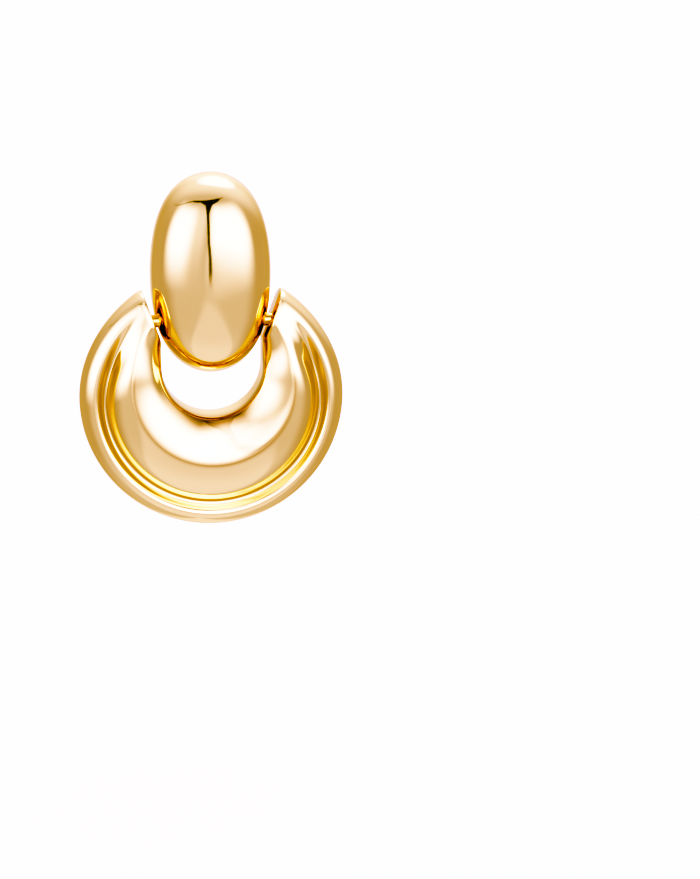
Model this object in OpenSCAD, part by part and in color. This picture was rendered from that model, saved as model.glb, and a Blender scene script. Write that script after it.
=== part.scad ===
// Door-knocker drop earring: a puffed oval stud with a hinge rod through it,
// and an open crescent disc that swings on the ends of the rod.
// Millimetres. +Z is up, +X is to the right seen from the front, and the front faces -Y.
// The origin is where the ear post leaves the flat back of the stud.

/* [Stud] */
// Width of the puffed oval
dome_w = 14.4; // [14:0.1:15]
// Height of the puffed oval
dome_h = 24; // [23.6:0.1:24.6]
// Depth of the oval from its flat back to its crown
dome_d = 7.9; // [7.4:0.1:8.4]
// Fullness of the oval against a true ellipse
dome_full = 0.34; // [0.1:0.02:0.5]
// Puffiness of the oval's section, 2 being a true half ellipse
dome_puff = 2.6; // [2.2:0.1:2.8]
// Radius of the rolled edge round the back
edge_r = 0.5; // [0.3:0.1:0.7]
// Thickness of the metal
wall = 0.8; // [0.7:0.05:0.9]
// Height of the ear post above the middle of the oval
post_rise = 3.6; // [2:0.1:5]
// Diameter of the ear post
post_d = 0.9; // [0.8:0.05:1]
// Diameter of the post's thicker root, where it is let into the back plate
root_d = 2; // [1.8:0.1:2.4]
// Length of the ear post behind the stud
post_l = 10.5; // [9:0.5:12]
// Diameter of the post's round head inside the stud
head_d = 3; // [2.4:0.2:4]

/* [Drop] */
// Outer diameter of the open disc
drop_w = 31.6; // [31:0.1:32.4]
// Distance of the disc's centre below the middle of the oval
drop_fall = 14.6; // [14.4:0.1:15]
// Set-back of the disc's flat back in front of the stud's back
drop_set = 0.1; // [0:0.05:0.3]
// Radius of the round window
hole_r = 6; // [5.8:0.05:6.1]
// Height of the window's centre above the disc's centre
hole_rise = 3.75; // [3.6:0.05:4]
// Lean of the two end faces from upright, in degrees
end_lean = 20; // [18:0.5:22]
// Gap between the oval and each end face at the hinge
end_gap = 0.28; // [0.24:0.02:0.4]
// Share by which the outline draws in towards its two tips
tip_taper = 0.03; // [0.02:0.01:0.05]

/* [Hinge] */
// Height of the hinge rod above the disc's centre
hinge_rise = 9.1; // [8.8:0.1:9.4]
// Distance of the hinge rod in front of the stud's back
hinge_depth = 3; // [2.8:0.1:3.2]
// Diameter of the hinge rod
rod_d = 1.5; // [1.3:0.1:1.6]
// Radial running clearance of the rod in the disc's two ends
run_fit = 0.05; // [0.02:0.01:0.1]
// Radial clearance of a piece that sits still in its hole
seat_fit = 0.02; // [0.01:0.01:0.05]

/* [Hidden] */
gold = "#e8c886";

// Number of facets of true round features
round_n = 48;
// Points round the oval, and rings from its crown to its rim
oval_n = 64;
oval_rings = 14;
lining_rings = 7;
roll_rings = 3;
// Stations along the disc from tip to tip, and curve steps between two section points
stations = 64;
curve_steps = 2;

dome_a = dome_w / 2;
dome_b = dome_h / 2;
dome_z = -post_rise;
disc_z = dome_z - drop_fall;
disc_r = drop_w / 2;
hinge_z = disc_z + hinge_rise;
// Depth of the straight collar that takes the back plate
collar = 1.2;

// Fullness curve of the oval: 0 at its middle, 1 at its two ends
function fullness(u) = (1 - dome_full) * u ^ 2 + dome_full * u ^ 4;
function unfull(s) =
    sqrt((sqrt((1 - dome_full) ^ 2 + 4 * dome_full * s) - (1 - dome_full)) / (2 * dome_full));

// Share of full size and share of full depth at an angle from the crown
function swell(t) = [sin(t) ^ (2 / dome_puff), max(0, cos(t)) ^ (2 / dome_puff)];

// One ring of the oval: share of full size, depth in front of the back, and inset of the outline
function oval_ring(share, depth, inset) = [
    for (i = [0:oval_n - 1])
        let (turn = 360 * i / oval_n, rise = unfull((share * sin(turn)) ^ 2))
        [(dome_a - inset) * share * cos(turn), -depth, dome_z + (dome_b - inset) * rise * sign(sin(turn))]
];

// Half width of the oval at a height below its middle
function oval_half(drop) = dome_a * sqrt(1 - fullness(drop / dome_b));

// Where the end faces meet the hinge line, the outline and the window
face_x = oval_half(drop_fall - hinge_rise) + end_gap;
face_slope = tan(end_lean);
face_foot = face_x - face_slope * hinge_rise;
tip_r = disc_r * (1 - tip_taper);
face_len2 = 1 + face_slope ^ 2;
tip_z = (sqrt(face_len2 * tip_r ^ 2 - face_foot ^ 2) - face_slope * face_foot) / face_len2;
tip_x = face_foot + face_slope * tip_z;
tip_turn = atan2(tip_x, -tip_z);
inner_z = (hole_r - face_foot) / face_slope;
arc_len = hole_r * PI / 2;
side_len = inner_z - hole_rise;
// Angle from straight down at which the outline starts to draw in
taper_from = 80;

// Smooth step from 0 to 1
function ease(t) = let (c = max(0, min(1, t))) c ^ 3 * (10 - 15 * c + 6 * c ^ 2);

// Outline and window edge of the disc at a station, -1 and 1 being the tips
function outer_at(s) =
    let (turn = s * tip_turn, drawn = ease((abs(turn) - taper_from) / (tip_turn - taper_from)))
    disc_r * (1 - tip_taper * drawn) * [sin(turn), -cos(turn)];
function inner_at(s) =
    let (run = abs(s) * (arc_len + side_len), turn = min(run, arc_len) / hole_r * 180 / PI)
    [sign(s) * hole_r * sin(turn), hole_rise - hole_r * cos(turn) + max(0, run - arc_len)];

// Cross-section of the disc, from the outer edge of its back over the front to the inner edge.
// Columns: share of the section's width, distance from the outer edge, height over the back,
// depth of the groove; then share, distance and height of the same point at the tips.
SECTION = [
    [ 0.00,  1.90,  0.00,  0.00,   0.00,  1.90,  0.00],
    [ 0.00,  1.00,  0.00,  0.00,   0.00,  1.00,  0.00],
    [ 0.00,  0.25,  0.70,  0.00,   0.00,  0.25,  0.70],
    [ 0.00,  0.00,  1.80,  0.00,   0.00,  0.00,  1.80],
    [ 0.00,  0.00,  2.80,  0.00,   0.00,  0.00,  2.80],
    [ 0.00,  0.20,  3.70,  0.00,   0.00,  0.15,  3.60],
    [ 0.00,  0.62,  4.45,  0.00,   0.00,  0.42,  4.30],
    [ 0.00,  1.12,  4.95,  0.00,   0.00,  0.75,  4.75],
    [ 0.00,  1.58,  5.24,  0.00,   0.00,  1.05,  5.00],
    [ 0.00,  1.90,  5.30,  0.04,   0.00,  1.30,  5.15],
    [ 0.00,  2.22,  5.42,  0.32,   0.00,  1.50,  5.27],
    [ 0.00,  2.52,  5.55,  0.85,   0.00,  1.70,  5.37],
    [ 0.00,  2.85,  5.70,  1.30,   0.00,  1.90,  5.47],
    [ 0.00,  3.18,  5.85,  1.50,   0.00,  2.15,  5.58],
    [ 0.00,  3.60,  6.00,  1.15,   0.00,  2.40,  5.68],
    [ 0.06,  3.50,  6.20,  0.60,   0.40,  0.00,  5.78],
    [ 0.22,  2.55,  6.42,  0.14,   0.46,  0.00,  5.88],
    [ 0.40,  1.50,  6.72,  0.00,   0.51,  0.00,  5.96],
    [ 0.53,  0.85,  6.84,  0.00,   0.57,  0.00,  5.99],
    [ 0.69,  0.12,  6.70,  0.00,   0.62,  0.00,  5.94],
    [ 0.79,  0.00,  6.38,  0.00,   0.69,  0.00,  5.78],
    [ 0.90, -0.30,  5.95,  0.00,   0.77,  0.00,  5.48],
    [ 1.00, -0.65,  5.33,  0.00,   1.00, -1.05,  5.05],
    [ 1.00, -0.14,  4.95,  0.00,   1.00, -0.50,  4.45],
    [ 1.00, -0.01,  4.30,  0.00,   1.00, -0.14,  3.75],
    [ 1.00,  0.00,  3.20,  0.00,   1.00,  0.00,  2.90],
    [ 1.00,  0.00,  1.60,  0.00,   1.00,  0.00,  1.50],
    [ 1.00,  0.00,  0.00,  0.00,   1.00,  0.00,  0.00],
    [ 1.00, -0.60,  0.00,  0.00,   1.00, -0.60,  0.00],
];

// Cross-section of the hollow inside, in the same columns without the groove
HOLLOW = [
    [ 0.00,  1.95,  0.00,   0.00,  1.95,  0.00],
    [ 0.00,  1.95,  0.95,   0.00,  1.95,  0.95],
    [ 0.00,  0.95,  1.80,   0.00,  0.95,  1.80],
    [ 0.00,  0.95,  2.80,   0.00,  0.95,  2.70],
    [ 0.00,  1.35,  3.65,   0.00,  1.30,  3.60],
    [ 0.00,  2.05,  3.95,   0.27,  0.00,  4.10],
    [ 0.00,  2.90,  3.45,   0.34,  0.00,  4.30],
    [ 0.04,  3.25,  3.75,   0.41,  0.00,  4.60],
    [ 0.20,  2.90,  5.10,   0.48,  0.00,  4.85],
    [ 0.42,  1.40,  5.75,   0.54,  0.00,  5.00],
    [ 0.56,  0.70,  5.90,   0.60,  0.00,  4.95],
    [ 0.74,  0.00,  5.60,   0.68,  0.00,  4.65],
    [ 0.88, -0.30,  4.80,   0.78,  0.00,  4.00],
    [ 1.00, -1.10,  3.30,   1.00, -1.10,  2.50],
    [ 1.00, -1.10,  0.00,   1.00, -1.10,  0.00],
];

// Turns from straight down over which the groove runs out and the tips take over
groove_ends = [98, 148];
tips_start = 95;

function groove_at(s) = 1 - ease((abs(s) * tip_turn - groove_ends[0]) / (groove_ends[1] - groove_ends[0]));
function tips_at(s) = ease((abs(s) * tip_turn - tips_start) / (tip_turn - tips_start));

// Point of the disc at a station, a distance in from its outer edge and a height over its back
function disc_point(s, reach, height) =
    let (o = outer_at(s), i = inner_at(s), p = o + (i - o) * reach / norm(i - o))
    [p.x, -drop_set - height, disc_z + p.y];

// Section rows placed at a station: [distance in from the outer edge, height over the back]
function section_at(s) =
    let (w = norm(inner_at(s) - outer_at(s)), k = tips_at(s), g = groove_at(s)) [
        for (r = SECTION) [
            (1 - k) * (r[0] * w + r[1]) + k * (r[4] * w + r[5]),
            (1 - k) * r[2] + k * r[6] - g * r[3]
        ]
    ];
function hollow_at(s) =
    let (w = norm(inner_at(s) - outer_at(s)), k = tips_at(s)) [
        for (r = HOLLOW) [
            (1 - k) * (r[0] * w + r[1]) + k * (r[3] * w + r[4]),
            (1 - k) * r[2] + k * r[5]
        ]
    ];

// Cubic curve that flows along a row of points and starts and ends on its first and last
function flow(a, b, c, d, t) =
    ((1 - t) ^ 3 * a + (3 * t ^ 3 - 6 * t ^ 2 + 4) * b + (1 + 3 * t + 3 * t ^ 2 - 3 * t ^ 3) * c + t ^ 3 * d) / 6;
function flowed(p) =
    let (n = len(p), q = concat([2 * p[0] - p[1]], p, [2 * p[n - 1] - p[n - 2]])) concat(
        [for (i = [0:n - 2]) for (j = [0:curve_steps - 1])
            flow(q[i], q[i + 1], q[i + 2], q[i + 3], j / curve_steps)],
        [p[n - 1]]
    );

// Stations where the hollow begins and ends, counted from a tip
end_solid = 2;

function station(i) = 2 * i / stations - 1;
function front_row(i) = let (s = station(i)) [for (p = flowed(section_at(s))) disc_point(s, p[0], p[1])];
function hollow_row(i) = let (s = station(i)) [for (p = hollow_at(s)) disc_point(s, p[0], p[1])];

// Quads between two neighbouring rows of points, as pairs of triangles
function strip(a, b, n, flip) = [
    for (k = [0:n - 2]) for (half = [0, 1])
        let (q = half == 0 ? [a + k, b + k, b + k + 1] : [a + k, b + k + 1, a + k + 1])
        flip ? [q[2], q[1], q[0]] : q
];

// The disc's outer form with the hollow let into its back, as one closed skin
module drop_body() {
    n = len(SECTION) * curve_steps - curve_steps + 1;
    m = len(HOLLOW);
    first = end_solid;
    last = stations - end_solid;
    base = (stations + 1) * n;
    points = concat(
        [for (i = [0:stations]) each front_row(i)],
        [for (i = [first:last]) each hollow_row(i)]
    );
    faces = concat(
        [for (i = [0:stations - 1]) each strip(i * n, (i + 1) * n, n, true)],
        [[for (k = [n - 1:-1:0]) k]],
        [[for (k = [0:n - 1]) stations * n + k]],
        [for (i = [first:last - 1]) each strip(base + (i - first) * m, base + (i - first + 1) * m, m, false)],
        [[for (k = [0:m - 1]) base + k]],
        [[for (k = [m - 1:-1:0]) base + (last - first) * m + k]],
        [for (i = [0:first - 2], e = [0, 1])
            let (a = e == 0 ? i : stations - i - 1) [a * n, (a + 1) * n, (a + 1) * n + n - 1, a * n + n - 1]],
        [[(first - 1) * n, first * n, base, base + m - 1, first * n + n - 1, first * n - 1]],
        [let (a = last * n, h = base + (last - first) * m)
            [a, a + n, a + 2 * n - 1, a + n - 1, h + m - 1, h]],
        [for (i = [first:last - 1])
            let (h = base + (i - first) * m) [i * n, (i + 1) * n, h + m, h]],
        [for (i = [first:last - 1])
            let (h = base + (i - first) * m + m - 1) [h, h + m, (i + 2) * n - 1, (i + 1) * n - 1]]
    );
    polyhedron(points, faces);
}

// Round hole or rod along the hinge line, between two distances from the middle
module on_hinge(r, from, to) {
    translate([from, -hinge_depth, hinge_z]) rotate([0, 90, 0]) cylinder(r = r, h = to - from, $fn = round_n);
}

// Puffed oval, hollow and open at its back, drilled right through for the hinge rod
module dome_shell() {
    outer_d = dome_d - edge_r;
    inner_d = dome_d - wall - collar;
    rings = concat(
        [for (i = [1:oval_rings]) let (p = swell(90 * i / oval_rings)) oval_ring(p[0], edge_r + outer_d * p[1], 0)],
        [for (i = [1:roll_rings]) let (t = 90 * i / roll_rings)
            oval_ring(1, edge_r * (1 - sin(t)), edge_r * (1 - cos(t)))],
        [oval_ring(1, 0, wall)],
        [for (i = [lining_rings:-1:1]) let (p = swell(90 * i / lining_rings))
            oval_ring(p[0], collar + inner_d * p[1], wall)]
    );
    count = len(rings) * oval_n;
    points = concat([for (r = rings) each r], [[0, -dome_d, dome_z], [0, wall - dome_d, dome_z]]);
    faces = concat(
        [for (i = [0:len(rings) - 2], k = [0:oval_n - 1], half = [0, 1])
            let (a = i * oval_n, b = a + oval_n, l = (k + 1) % oval_n)
            half == 0 ? [a + k, b + l, b + k] : [a + k, a + l, b + l]],
        [for (k = [0:oval_n - 1]) [count, (k + 1) % oval_n, k]],
        [for (k = [0:oval_n - 1])
            [count + 1, count - oval_n + k, count - oval_n + (k + 1) % oval_n]]
    );
    color(gold) difference() {
        polyhedron(points, faces);
        on_hinge(rod_d / 2 + seat_fit, -dome_a - 1, dome_a + 1);
    }
}

// Flat plate that closes the oval's back, with a hole for the post
module dome_back() {
    color(gold) difference() {
        rotate([90, 0, 0]) linear_extrude(wall)
            polygon([for (p = oval_ring(1, 0, wall + seat_fit)) [p.x, p.z]]);
        rotate([90, 0, 0]) translate([0, 0, -1]) cylinder(r = root_d / 2 + seat_fit, h = wall + 2, $fn = round_n);
    }
}

// Straight wire with a rounded point, a thicker root in the back plate and a flat round head behind it
module ear_post() {
    head_t = 0.5;
    root_out = 0.15;
    behind = -wall - seat_fit;
    color(gold) rotate([-90, 0, 0]) rotate_extrude($fn = round_n) polygon(concat(
        [[0, behind - head_t], [head_d / 2, behind - head_t], [head_d / 2, behind]],
        [[root_d / 2, behind], [root_d / 2, root_out], [post_d / 2, root_out]],
        [for (t = [0:15:90]) [post_d / 2 * cos(t), post_l - post_d / 2 * (1 - sin(t))]]
    ));
}

// Length of the rod past each end face, through the end wall and into the hollow
rod_past = 1.9;

module hinge_rod() {
    color(gold) on_hinge(rod_d / 2, -face_x - rod_past, face_x + rod_past);
}

// Open crescent disc with a half-round rim, a groove and a swelling crescent, drilled at its two ends
module drop_shell() {
    bore_end = face_x + 3;
    color(gold) difference() {
        drop_body();
        on_hinge(rod_d / 2 + run_fit, -bore_end, -face_x + 1.5);
        on_hinge(rod_d / 2 + run_fit, face_x - 1.5, bore_end);
    }
}

// Flat crescent plate that closes the disc's back
module drop_back() {
    rows = [for (i = [end_solid:stations - end_solid]) station(i)];
    inset = seat_fit;
    outer = [for (s = rows) disc_point(s, hollow_at(s)[0][0] + inset, 0)];
    inner = [for (s = rows) disc_point(s, hollow_at(s)[len(HOLLOW) - 1][0] - inset, 0)];
    rim = concat([for (p = outer) [p.x, p.z]], [for (i = [len(inner) - 1:-1:0]) [inner[i].x, inner[i].z]]);
    color(gold) translate([0, -drop_set, 0]) rotate([90, 0, 0]) linear_extrude(wall) polygon(rim);
}

dome_shell();
dome_back();
ear_post();
hinge_rod();
drop_shell();
drop_back();
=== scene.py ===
"""Polished gold dress of a hinged drop earring: puffed oval stud and open crescent disc.

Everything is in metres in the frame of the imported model: +Z up, +X to the right seen
from the front, and the front faces -Y. Sizes below are in millimetres.
"""
import logging
import math
from dataclasses import dataclass, field, replace
from enum import Enum
from typing import Iterable, NamedTuple, Sequence

import bmesh
import bpy
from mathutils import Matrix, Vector


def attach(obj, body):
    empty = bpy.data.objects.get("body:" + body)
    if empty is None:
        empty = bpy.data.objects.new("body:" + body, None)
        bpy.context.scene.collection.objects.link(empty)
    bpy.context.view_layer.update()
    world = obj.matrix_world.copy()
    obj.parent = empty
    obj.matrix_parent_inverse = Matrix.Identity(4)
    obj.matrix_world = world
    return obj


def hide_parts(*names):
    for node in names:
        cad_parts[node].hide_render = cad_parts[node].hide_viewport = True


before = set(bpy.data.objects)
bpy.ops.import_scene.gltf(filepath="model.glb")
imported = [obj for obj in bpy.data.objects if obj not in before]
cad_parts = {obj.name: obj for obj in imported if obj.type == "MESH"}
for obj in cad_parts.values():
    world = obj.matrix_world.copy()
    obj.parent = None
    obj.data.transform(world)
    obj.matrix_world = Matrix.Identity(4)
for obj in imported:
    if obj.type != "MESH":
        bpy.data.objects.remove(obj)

log = logging.getLogger("earring")

MM = 0.001
Point2 = tuple[float, float]
Point3 = tuple[float, float, float]
Rgb = tuple[float, float, float]


class Ramp(NamedTuple):
    """Smooth step up to an amount.

    Args:
        amount: What is added in the end.
        start: Value at which it starts.
        end: Value from which all of it is added.
    """

    amount: float
    start: float
    end: float


class Body(Enum):
    """The two bodies that the hinge rod joins."""

    STUD = "stud"
    DROP = "drop"


class Slot(Enum):
    """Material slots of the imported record."""

    STUD = "stud_gold"
    DROP = "drop_gold"
    BACK = "back_gold"
    POST = "post_gold"
    ROD = "rod_gold"


class Grain(Enum):
    """Way in which a metal face was worked, with the scale of its marks along each axis."""

    POLISHED = (1.0, 1.0, 1.0)
    BRUSHED_X = (0.03, 1.0, 1.0)
    DRAWN_Y = (1.0, 0.02, 1.0)
    DRAWN_X = (0.02, 1.0, 1.0)


# Curves


def ease(t: float) -> float:
    """Smooth step from 0 to 1 with no kink in its curvature."""
    c = max(0.0, min(1.0, t))
    return c**3 * (10 - 15 * c + 6 * c * c)


def quarter(step: int, steps: int) -> float:
    """Angle after some steps of a quarter turn, in radians."""
    return math.radians(90 * step / steps)


def flow(points: Sequence[Point2], steps: int) -> list[Point2]:
    """Lays a cubic curve along a row of points, starting and ending on its ends.

    Args:
        points: The points that pull the curve.
        steps: Curve pieces between two neighbouring points.

    Returns:
        The points of the curve.
    """
    first = (2 * points[0][0] - points[1][0], 2 * points[0][1] - points[1][1])
    last = (2 * points[-1][0] - points[-2][0], 2 * points[-1][1] - points[-2][1])
    pull = [first, *points, last]
    curve: list[Point2] = []
    for i in range(len(points) - 1):
        a, b, c, d = pull[i : i + 4]
        for j in range(steps):
            t = j / steps
            w = ((1 - t) ** 3, 3 * t**3 - 6 * t * t + 4, 1 + 3 * t + 3 * t * t - 3 * t**3, t**3)
            curve.append(
                (
                    (w[0] * a[0] + w[1] * b[0] + w[2] * c[0] + w[3] * d[0]) / 6,
                    (w[0] * a[1] + w[1] * b[1] + w[2] * c[1] + w[3] * d[1]) / 6,
                )
            )
    curve.append(points[-1])
    return curve


def inset_loop(loop: Sequence[Point2], amount: float) -> list[Point2]:
    """Moves a closed loop inwards along its own normals.

    Args:
        loop: Points of the loop, without the first repeated.
        amount: Distance to move, on the loop's inner side.

    Returns:
        The moved points, one for each point of the loop.
    """
    n = len(loop)
    area = sum(loop[i - 1][0] * loop[i][1] - loop[i][0] * loop[i - 1][1] for i in range(n))
    side = 1.0 if area > 0 else -1.0
    moved: list[Point2] = []
    for i in range(n):
        ax, ay = loop[i - 1]
        bx, by = loop[(i + 1) % n]
        tx, ty = bx - ax, by - ay
        size = math.hypot(tx, ty) or 1.0
        moved.append((loop[i][0] - side * ty / size * amount, loop[i][1] + side * tx / size * amount))
    return moved


# Meshes

# Rings that round a small edge over.
ROUND_RINGS = 4


@dataclass
class Skin:
    """Points and faces of one piece while it is being built, in millimetres."""

    points: list[Point3] = field(default_factory=list)
    faces: list[tuple[int, ...]] = field(default_factory=list)

    def row(self, points: Iterable[Point3]) -> list[int]:
        """Adds a row of points and returns their numbers.

        Args:
            points: Points of the row, in millimetres.

        Returns:
            Their numbers.
        """
        start = len(self.points)
        self.points.extend(points)
        return list(range(start, len(self.points)))

    def bridge(self, a: Sequence[int], b: Sequence[int], closed: bool = False) -> None:
        """Joins two rows of equal length with quads.

        Args:
            a: Numbers of the first row's points.
            b: Numbers of the second row's points.
            closed: True if each row is a ring.
        """
        n = len(a)
        for k in range(n if closed else n - 1):
            m = (k + 1) % n
            self.faces.append((a[k], a[m], b[m], b[k]))

    def loft(self, rows: Sequence[Sequence[int]], closed: bool = False, capped: bool = False) -> None:
        """Joins a row of rows with quads.

        Args:
            rows: Numbers of the points of each row.
            closed: True if each row is a ring.
            capped: True if the first and the last ring are closed with a face.
        """
        for a, b in zip(rows, rows[1:]):
            self.bridge(a, b, closed)
        if capped:
            self.cap(rows[0])
            self.cap(rows[-1])

    def fan(self, ring: Sequence[int], tip: int) -> None:
        """Joins a ring to one point with triangles."""
        for k, a in enumerate(ring):
            self.faces.append((a, ring[(k + 1) % len(ring)], tip))

    def cap(self, ring: Sequence[int]) -> None:
        """Closes a flat ring with one face."""
        self.faces.append(tuple(ring))

    def make(self, name: str, crease_deg: float = 35.0) -> bpy.types.Object:
        """Turns the skin into a smooth-shaded object with outward faces.

        Args:
            name: Name of the new object.
            crease_deg: Edges that turn by more than this stay sharp.

        Returns:
            The new object, linked to the scene.
        """
        mesh = bpy.data.meshes.new(name)
        mesh.from_pydata([(x * MM, y * MM, z * MM) for x, y, z in self.points], [], self.faces)
        mesh.validate()
        obj = bpy.data.objects.new(name, mesh)
        bpy.context.scene.collection.objects.link(obj)
        face_outwards(obj)
        shade_smooth(obj, crease_deg)
        return obj


def face_outwards(obj: bpy.types.Object) -> None:
    """Turns every face of a closed mesh outwards.

    Args:
        obj: The piece.
    """
    bm = bmesh.new()
    bm.from_mesh(obj.data)
    bmesh.ops.recalc_face_normals(bm, faces=bm.faces)
    if bm.calc_volume(signed=True) < 0:
        bmesh.ops.reverse_faces(bm, faces=bm.faces)
    bm.to_mesh(obj.data)
    bm.free()


def shade_smooth(obj: bpy.types.Object, crease_deg: float) -> None:
    """Shades a mesh smooth and keeps its real edges sharp."""
    obj.data.polygons.foreach_set("use_smooth", [True] * len(obj.data.polygons))
    obj.data.set_sharp_from_angle(angle=math.radians(crease_deg))


def turned(
    name: str, profile: Sequence[Point2], origin: Point3, axis: str, sides: int = 96
) -> bpy.types.Object:
    """Turns a profile about an axis, as on a lathe.

    Args:
        name: Name of the new object.
        profile: Radius and distance along the axis, from one end to the other.
        origin: Where distance 0 lies.
        axis: "X" or "Y", the axis that the piece is turned about.
        sides: Points round the piece.

    Returns:
        The closed piece.
    """
    skin = Skin()

    def place(radius: float, along: float, turn: float) -> Point3:
        """One point of the turned face.

        Args:
            radius: Distance from the axis.
            along: Distance along the axis.
            turn: Angle about the axis.

        Returns:
            The point, in millimetres.
        """
        u, v = radius * math.cos(turn), radius * math.sin(turn)
        x, y, z = origin
        return (x + along, y + u, z + v) if axis == "X" else (x + u, y + along, z + v)

    rings = [skin.row(place(r, d, math.tau * k / sides) for k in range(sides)) for r, d in profile]
    skin.loft(rings, closed=True, capped=True)
    return skin.make(name)


def drill(obj: bpy.types.Object, cutters: Sequence[bpy.types.Object], crease_deg: float = 35.0) -> None:
    """Cuts round holes out of a piece and removes the cutters.

    Args:
        obj: The piece.
        cutters: Closed round bars, taken out one after the other.
        crease_deg: Edges that turn by more than this stay sharp.
    """
    for cutter in cutters:
        mod = obj.modifiers.new("bore", "BOOLEAN")
        mod.operation = "DIFFERENCE"
        mod.solver = "EXACT"
        mod.object = cutter
        deps = bpy.context.evaluated_depsgraph_get()
        cut = bpy.data.meshes.new_from_object(obj.evaluated_get(deps))
        obj.modifiers.clear()
        obj.data = cut
        bpy.data.objects.remove(cutter)
    shade_smooth(obj, crease_deg)


# Shader maths


class Sock:
    """One value in a shader, on which Python arithmetic adds Math nodes."""

    def __init__(self, graph: "Graph", socket: bpy.types.NodeSocket) -> None:
        """Keeps the graph and the socket that carries the value."""
        self.graph = graph
        self.socket = socket

    def _math(self, kind: str, *values: "Sock | float") -> "Sock":
        """Adds one Math node."""
        return self.graph.node("ShaderNodeMath", {"operation": kind}, dict(enumerate(values)))

    def __add__(self, other: "Sock | float") -> "Sock":
        """Sum."""
        return self._math("ADD", self, other)

    def __radd__(self, other: float) -> "Sock":
        """Sum, reflected."""
        return self._math("ADD", other, self)

    def __sub__(self, other: "Sock | float") -> "Sock":
        """Difference."""
        return self._math("SUBTRACT", self, other)

    def __rsub__(self, other: float) -> "Sock":
        """Difference, reflected."""
        return self._math("SUBTRACT", other, self)

    def __mul__(self, other: "Sock | float") -> "Sock":
        """Product."""
        return self._math("MULTIPLY", self, other)

    def __rmul__(self, other: float) -> "Sock":
        """Product, reflected."""
        return self._math("MULTIPLY", other, self)

    def __neg__(self) -> "Sock":
        """The value with its sign turned."""
        return self._math("MULTIPLY", self, -1.0)

    def absolute(self) -> "Sock":
        """The value without its sign."""
        return self._math("ABSOLUTE", self)

    def at_least(self, other: "Sock | float") -> "Sock":
        """The larger of two values."""
        return self._math("MAXIMUM", self, other)

    def at_most(self, other: "Sock | float") -> "Sock":
        """The smaller of two values."""
        return self._math("MINIMUM", self, other)

    def rise(self, low: float, high: float) -> "Sock":
        """Smooth step that is 0 at low and 1 at high.

        Args:
            low: Where the step starts.
            high: Where it ends.

        Returns:
            The step.
        """
        return self.graph.node(
            "ShaderNodeMapRange",
            {"interpolation_type": "SMOOTHSTEP", "clamp": True},
            {"Value": self, "From Min": low, "From Max": high, "To Min": 0.0, "To Max": 1.0},
        )

    def ramp(self, step: Ramp) -> "Sock":
        """Smooth step up to an amount."""
        return self.rise(step.start, step.end) * step.amount


class Graph:
    """A node tree that is filled from Python expressions."""

    def __init__(self, tree: bpy.types.NodeTree) -> None:
        """Empties the tree and keeps it."""
        self.tree = tree
        tree.nodes.clear()

    def node(
        self, kind: str, settings: dict[str, object], inputs: dict[str | int, object], output: str | int = 0
    ) -> Sock:
        """Adds one node: its settings first, then its sockets.

        Args:
            kind: Node type.
            settings: Properties of the node.
            inputs: Values or links by socket name or number.
            output: Which output to hand back.

        Returns:
            The wrapped output, or the first socket of a node that has no output.
        """
        made = self.tree.nodes.new(kind)
        for key, value in settings.items():
            setattr(made, key, value)
        for key, value in inputs.items():
            socket = made.inputs[key]
            if isinstance(value, Sock):
                self.tree.links.new(value.socket, socket)
            else:
                socket.default_value = value
        return Sock(self, made.outputs[output] if len(made.outputs) else made.inputs[0])

    def blend(self, share: Sock | float, a: "Sock | Rgb", b: "Sock | Rgb") -> Sock:
        """Mixes two colours by a share."""
        paint = [c if isinstance(c, Sock) else (*c, 1.0) for c in (a, b)]
        return self.node("ShaderNodeMix", {"data_type": "RGBA"}, {0: share, 6: paint[0], 7: paint[1]}, 2)

    def tinted(self, colour: Sock, tint: Sock) -> Sock:
        """Multiplies two colours."""
        settings = {"data_type": "RGBA", "blend_type": "MULTIPLY"}
        return self.node("ShaderNodeMix", settings, {0: 1.0, 6: colour, 7: tint}, 2)


# Finishes

# Tint that changes nothing.
PLAIN: Rgb = (1.0, 1.0, 1.0)

# Name of the marks on a mesh where a finish paints dark reflections.
PAINTED_DARK_MARK = "crest"


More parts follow.
